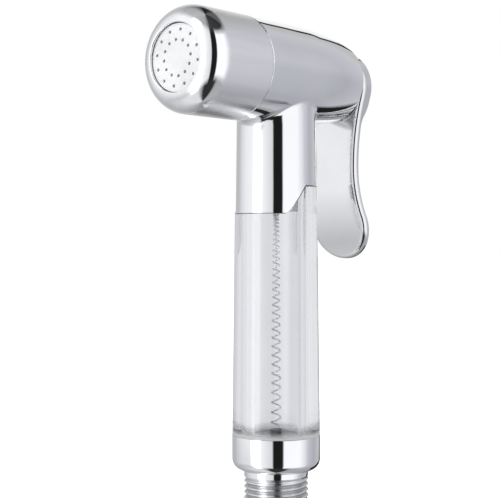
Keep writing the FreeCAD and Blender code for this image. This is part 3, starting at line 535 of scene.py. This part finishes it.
# Spray plate, coil holder and flow disc. White moulded plastic: the plate with
# its two rings of fine holes, the slotted plug whose rod carries the coil's
# head, and the disc that evens out the water.
white_plastic, tree = surface("white_plastic")
colour(tree, waves=90, detail=3, dark=(0.66, 0.668, 0.68), light=(0.77, 0.775, 0.78))
gloss(tree, waves=700, detail=4, low=0.32, high=0.46)
marks(tree, waves=2200, detail=2, depth=0.012 * MM)
refinish(white_plastic, "coil_holder", "flow_disc", "spray_plate")

# Handle tube. Thick clear plastic, polished outside, drilled through for the
# water; its head goes up into the neck. Its foot is ground matt where the ring
# grips it, and there it is painted grey as painted shade: the grey band just
# over the end fitting.
MATT_SHADE_TOP = 25.0 * MM
MATT_SHADE_FOOT = 22.8 * MM
MATT_SHADE_DEPTH = 12.0 * MM
MATT_SHADE_EDGE = 0.2 * MM
MATT_SHADE_COVER = 0.6
MATT_ROUGHNESS = 0.35
clear_plastic, tree = surface("clear_plastic", IOR=1.49, Specular_IOR_Level=0.9)
grain = noise(tree, waves=70, detail=3)
matt_shade_band = tree.product(falling(tree, tree.split(tree.place)["Z"], MATT_SHADE_FOOT, MATT_SHADE_TOP),
                    rising(tree, from_axis(tree), MATT_SHADE_DEPTH - MATT_SHADE_EDGE, MATT_SHADE_DEPTH))
# Painted shade: the band's colour is grey and less of it is clear, so the grey shows.
tree.wire(mixed(tree, matt_shade_band,
                tint(tree, grain, (0.945, 0.947, 0.962), (0.965, 0.967, 0.975)),
                tint(tree, grain, (0.58, 0.58, 0.595), (0.66, 0.66, 0.67))),
          tree.shader.inputs["Base Color"])
tree.wire(tree.math("SUBTRACT", 1.0, tree.product(matt_shade_band, MATT_SHADE_COVER)),
          tree.shader.inputs["Transmission Weight"])
polish = spread(tree, noise(tree, waves=300, detail=4), low=0.05, high=0.085)
tree.wire(tree.math("ADD", polish, tree.product(matt_shade_band, MATT_ROUGHNESS)),
          tree.shader.inputs["Roughness"])
marks(tree, waves=90, detail=2, depth=0.02 * MM, stretch=(1, 1, 0.1))
refinish(clear_plastic, "handle_tube")

# Head shell. Barrel and neck cast in one piece, polished and chromed; the valve
# sits in the barrel and the handle's head in the neck.
refinish(chrome, "head_shell")

# Nozzle collar. Chromed sleeve screwed on the barrel: satin along its side with
# faint turning streaks, and polished round its nose.
SATIN_EDGE = 41.2 * MM
SATIN_FADE = 0.6 * MM
satin_chrome, tree = surface("satin_chrome", metallic=1.0)
tree.wire(tint(tree, noise(tree, waves=420, detail=2, stretch=(1, 0.06, 1)),
               (0.9, 0.905, 0.92), (0.95, 0.953, 0.962)), tree.shader.inputs["Base Color"])
satin = spread(tree, tree.split(tree.place)["Y"], low=0.05, high=0.3,
               start=-SATIN_EDGE - SATIN_FADE, stop=-SATIN_EDGE + SATIN_FADE)
streaks = spread(tree, noise(tree, waves=420, detail=2, stretch=(1, 0.08, 1)), low=0.0, high=0.04)
tree.wire(tree.math("ADD", satin, streaks), tree.shader.inputs["Roughness"])
marks(tree, waves=75, detail=0, depth=0.09 * MM)
refinish(satin_chrome, "nozzle_collar")

# Lever. One chromed casting: a thick round cap that fades into a waisted arm
# with a round tail, hung on the hinge pin by a tongue. Its cast skin is polished
# less than the head, so it mirrors a little softer.
lever_chrome, tree = surface("lever_chrome", metallic=1.0)
colour(tree, waves=45, detail=3, dark=(0.765, 0.775, 0.775), light=(0.82, 0.825, 0.832))
gloss(tree, waves=220, detail=4, low=0.06, high=0.11)
marks(tree, waves=60, detail=1, depth=0.04 * MM)
refinish(lever_chrome, "lever")

# Studio: the camera. It stands level with the handle's upper half, in front on
# the +X side, and takes in a little more below than above.
LOOK = Vector((-0.6492, 0.7606, 0))
camera = bpy.data.objects.new("camera", bpy.data.cameras.new("camera"))
bpy.context.scene.collection.objects.link(camera)
camera.location = (0.2409, -0.2953, 0.086)
camera.rotation_euler = LOOK.to_track_quat("-Z", "Y").to_euler()
camera.data.lens = 84.15
camera.data.sensor_width = 36
camera.data.shift_y = -0.0204
camera.data.clip_start = 0.01
bpy.context.scene.camera = camera
bpy.context.scene.view_settings.view_transform = "Standard"


def stage_item(name, tool):
    """A mesh of the studio, not of the shower."""
    item = mesh_object(name, tool)
    return item


def shown_rays(tree):
    """1 for rays that come from the camera, a mirror or a clear piece."""
    rays = tree.add("ShaderNodeLightPath").outputs
    mirrored = tree.math("MAXIMUM", rays["Is Glossy Ray"], rays["Is Transmission Ray"])
    return tree.math("MAXIMUM", rays["Is Camera Ray"], mirrored)


# Studio: floor and sky. A pale floor just under the shower glows towards the
# camera and melts into a white sky; both light the shower less than they show.
FLOOR_HALF = 4.0
FLOOR_DROP = 0.2 * MM
FLOOR_GLOW = 0.55
SKY_LIGHT = 0.55
tool = bmesh.new()
bmesh.ops.create_grid(tool, x_segments=1, y_segments=1, size=FLOOR_HALF)
bmesh.ops.translate(tool, verts=tool.verts, vec=(0, 0, -FLOOR_DROP))
floor = stage_item("floor", tool)
floor.visible_glossy = False
floor.visible_transmission = False
floor_finish = bpy.data.materials.new("pale_floor")
floor_finish.use_nodes = True
floor.data.materials.append(floor_finish)
tree = Tree(floor_finish.node_tree)
tree.tree.nodes.clear()
pale = tree.add("ShaderNodeBsdfDiffuse")
pale.inputs["Color"].default_value = (0.9, 0.9, 0.9, 1)
glow = tree.add("ShaderNodeEmission")
glow.inputs["Color"].default_value = (1, 1, 1, 1)
tree.wire(tree.product(shown_rays(tree), FLOOR_GLOW), glow.inputs["Strength"])
both = tree.add("ShaderNodeAddShader")
tree.wire(pale.outputs[0], both.inputs[0])
tree.wire(glow.outputs[0], both.inputs[1])
tree.wire(both.outputs[0], tree.add("ShaderNodeOutputMaterial").inputs["Surface"])

world = bpy.data.worlds.new("studio")
bpy.context.scene.world = world
world.use_nodes = True
tree = Tree(world.node_tree)
tree.tree.nodes.clear()
sky = tree.add("ShaderNodeBackground")
sky.inputs["Color"].default_value = (1, 1, 1, 1)
tree.wire(spread(tree, shown_rays(tree), low=SKY_LIGHT, high=1.0, start=0.0, stop=1.0),
          sky.inputs["Strength"])
tree.wire(sky.outputs[0], tree.add("ShaderNodeOutputWorld").inputs["Surface"])

# Studio: the light tent. A far ball of white, grey and dark panels that shows
# only in mirrors and through clear pieces. Bearing goes round it, 0.5 towards
# the camera and growing to its right; level is degrees above the horizon.
TENT_RADIUS = 12.0
TENT_POWER = 3.5
TENT_COLUMNS = 96
TENT_ROWS = 48
tool = bmesh.new()
bmesh.ops.create_uvsphere(tool, u_segments=TENT_COLUMNS, v_segments=TENT_ROWS, radius=TENT_RADIUS)
bmesh.ops.reverse_faces(tool, faces=tool.faces)
tent = stage_item("light_tent", tool)
tent.visible_camera = False
tent.visible_diffuse = False
tent.visible_shadow = False
tent_finish = bpy.data.materials.new("tent_panels")
tent_finish.use_nodes = True
tent.data.materials.append(tent_finish)
tree = Tree(tent_finish.node_tree)
tree.tree.nodes.clear()
spot = tree.split(tree.add("ShaderNodeTexCoord").outputs["Object"])
turn = tree.math("SUBTRACT", math.atan2(-LOOK.x, -LOOK.y),
                 tree.math("ARCTAN2", spot["X"], spot["Y"]))
bearing = tree.math("FRACT", tree.math("ADD", tree.math("DIVIDE", turn, 2 * math.pi), 0.5))
degrees = tree.product(tree.math("SUBTRACT", bearing, 0.5), 360.0)
level = tree.math("ARCSINE", tree.math("DIVIDE", spot["Z"], TENT_RADIUS))
level = tree.math("DIVIDE", level, math.radians(1))


def panels(*stops):
    """The tent's greys by bearing in degrees; a third number is the blue's share."""
    ramp = tree.add("ShaderNodeValToRGB")
    elements = ramp.color_ramp.elements
    for index, (at, grey, *blue) in enumerate(stops):
        position = at / 360 + 0.5
        element = elements[index] if index < 2 else elements.new(position)
        element.position = position
        tone = grey / TENT_POWER
        element.color = (tone, tone * 1.01, tone * (blue[0] if blue else 1.03), 1)
    tree.wire(bearing, ramp.inputs["Fac"])
    return ramp.outputs["Color"]


def patch(grey):
    """One plain grey for the tent."""
    node = tree.add("ShaderNodeRGB")
    tone = grey / TENT_POWER
    node.outputs[0].default_value = (tone, tone, tone, 1)
    return node.outputs[0]


def slant(source, at, slope, height):
    """Height where source is at, changing by slope for each degree."""
    return tree.math("ADD", tree.product(tree.math("SUBTRACT", source, at), slope), height)


walls = panels(
    (-180, 0.66), (-165, 0.62), (-148, 0.53), (-132, 0.58), (-118, 0.76), (-100, 0.92),
    (-84, 0.99), (-71, 1.02), (-65, 3.4), (-47, 3.4), (-41, 1.04), (-24, 0.88), (-11, 0.76),
    (-8, 0.012), (16, 0.014), (20, 1.1), (62, 1.1), (80, 0.84, 1.06), (91, 0.6, 1.09),
    (104, 0.52, 1.1), (116, 0.47, 1.1), (128, 0.53, 1.09), (140, 0.6, 1.06), (147, 0.56),
    (152, 0.18), (180, 0.14))
low_walls = panels(
    (-180, 0.5), (-140, 0.46), (-110, 0.56, 1.05), (-80, 0.62, 1.05), (-60, 0.8), (180, 0.8))
high_walls = panels(
    (60, 1.0), (80, 0.86, 1.05), (91, 0.68, 1.07), (104, 0.6, 1.07), (116, 0.56, 1.08),
    (128, 0.59, 1.08), (142, 0.63, 1.06), (180, 0.6, 1.06))
ceiling = panels(
    (-180, 0.05), (-168, 0.2), (-140, 0.42), (-70, 0.5), (-24, 0.4), (0, 0.05), (90, 0.03),
    (110, 0.12), (148, 0.12), (160, 0.02), (180, 0.02))
ground = panels(
    (-180, 0.32), (-120, 0.56), (-80, 0.78), (-45, 0.78), (-30, 0.3), (-22, 0.03), (28, 0.03),
    (44, 0.4), (90, 0.44, 1.08), (122, 0.4, 1.08), (150, 0.36, 1.06), (180, 0.3))
through = panels(
    (-180, 0.75), (-175, 0.72), (-167, 0.76), (-158, 0.84), (-141, 0.84), (-130, 0.82),
    (-120, 0.86), (-100, 0.88), (0, 0.8), (84, 0.84, 1.04), (108, 0.66, 1.05),
    (117, 0.62, 1.05), (126, 0.74, 1.05), (133, 0.78, 1.05), (139, 0.7, 1.05),
    (150, 0.7, 1.05), (161, 0.7, 1.05), (168, 0.84, 1.05), (180, 0.85, 1.05))
# Behind the head hangs a white wedge with a thin dark edge: nearly level on top
# and falling away below. Round it the wall is lilac.
wedge_top = slant(degrees, at=159.0, slope=0.2, height=35.0)
wedge_foot = slant(degrees, at=155.0, slope=-1.19, height=33.0)
inside = tree.math("MINIMUM", tree.math("SUBTRACT", wedge_top, level),
                   tree.math("SUBTRACT", level, wedge_foot))
behind = tree.product(rising(tree, degrees, 138, 150), rising(tree, level, 6, 10))
wedge = tree.product(behind, rising(tree, inside, 1.6, 3.2))
edge = tree.product(behind, rising(tree, inside, -2.6, -1.0), falling(tree, inside, 1.6, 3.2))
round_it = tree.product(behind, falling(tree, inside, -2.6, -1.0))
# Under the head it is dark, from a slanting edge on.
under_edge = slant(level, at=-34.0, slope=0.6, height=129.0)
under = tree.product(rising(tree, tree.math("SUBTRACT", degrees, under_edge), -3, 3),
                     falling(tree, degrees, 154, 160), falling(tree, level, -16, -10),
                     rising(tree, level, -39, -36))
low_left = tree.product(falling(tree, degrees, -66, -54), falling(tree, level, -26, -4))
high_right = tree.product(rising(tree, degrees, 78, 84), rising(tree, level, 2, 15))
# Rays that have been through the clear handle see softer panels, also when the
# lever mirrors them on the way.
depth = tree.add("ShaderNodeLightPath").outputs["Transmission Depth"]
past_glass = tree.math("GREATER_THAN", depth, 0.5)
tone = walls
for share, layer in (
        (low_left, low_walls), (high_right, high_walls),
        (wedge, patch(0.97)), (edge, patch(0.02)), (round_it, patch(0.56)),
        (rising(tree, level, 42, 56), ceiling), (falling(tree, level, -42, -28), ground),
        (under, patch(0.015)), (past_glass, through)):
    tone = mixed(tree, share, tone, layer)
glow = tree.add("ShaderNodeEmission")
glow.inputs["Strength"].default_value = TENT_POWER
tree.wire(tone, glow.inputs["Color"])
tree.wire(glow.outputs[0], tree.add("ShaderNodeOutputMaterial").inputs["Surface"])

# Studio: lamps. Three soft square lamps, unseen in mirrors, that look at the
# middle of the shower from the left, the right and above.
AIM = Vector((0, 0, 0.09))
for name, place, width, height, power in (
        ("left_box", (-0.5, -1.0, 0.7), 0.9, 0.9, 9),
        ("right_box", (1.1, 0.1, 0.6), 0.7, 0.9, 6),
        ("top_box", (0.1, 0.2, 1.3), 1.2, 1.2, 8)):
    lamp = bpy.data.lights.new(name, "AREA")
    lamp.shape = "RECTANGLE"
    lamp.size = width
    lamp.size_y = height
    lamp.energy = power
    item = bpy.data.objects.new(name, lamp)
    bpy.context.scene.collection.objects.link(item)
    item.location = place
    item.rotation_euler = (AIM - Vector(place)).to_track_quat("-Z", "Y").to_euler()
    item.visible_glossy = False
    item.visible_camera = False
